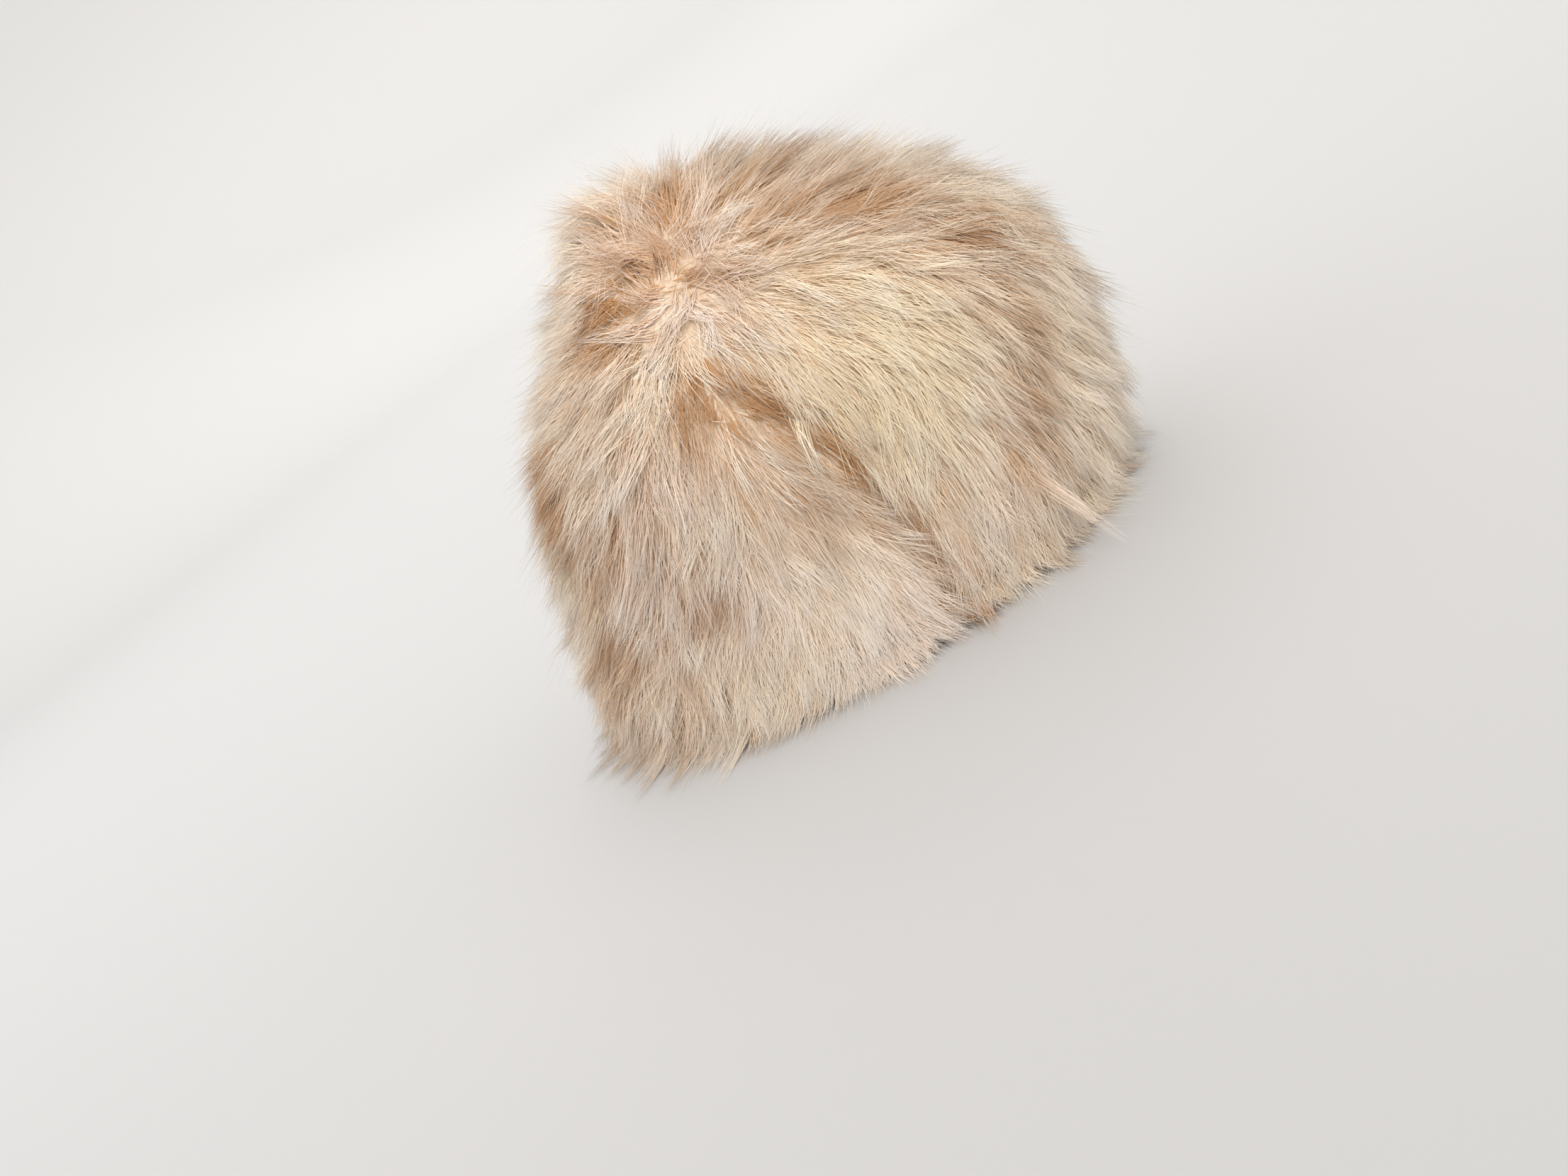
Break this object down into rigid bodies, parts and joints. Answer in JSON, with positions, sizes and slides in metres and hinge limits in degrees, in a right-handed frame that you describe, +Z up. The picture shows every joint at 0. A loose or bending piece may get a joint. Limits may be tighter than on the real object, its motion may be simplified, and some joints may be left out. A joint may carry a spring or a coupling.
{
  "type": "fur cloche hat",
  "caption": "Bell-shaped deep-fur hat with a hollow for the head, built as sewn pelt panels that each carry thick fur; it rests on its rim.",
  "frame": {"origin": "centre of the hat's box, on the surface that its rim rests on", "axes": "+X towards the wearer's front, +Y to the wearer's left, +Z up out of the crown"},
  "size_m": [0.324, 0.2202, 0.2342],
  "materials": {
    "pelt_skin": "matt suede-like skin side of a pelt",
    "fur": "deep soft fur, cream and beige with brown tips"
  },
  "bodies": {
    "root": {"crown": "pelt_skin", "front_brim": "pelt_skin", "back_panel": "pelt_skin", "crown_fur": "fur", "front_brim_fur": "fur", "back_panel_fur": "fur"}
  },
  "joints": []
}
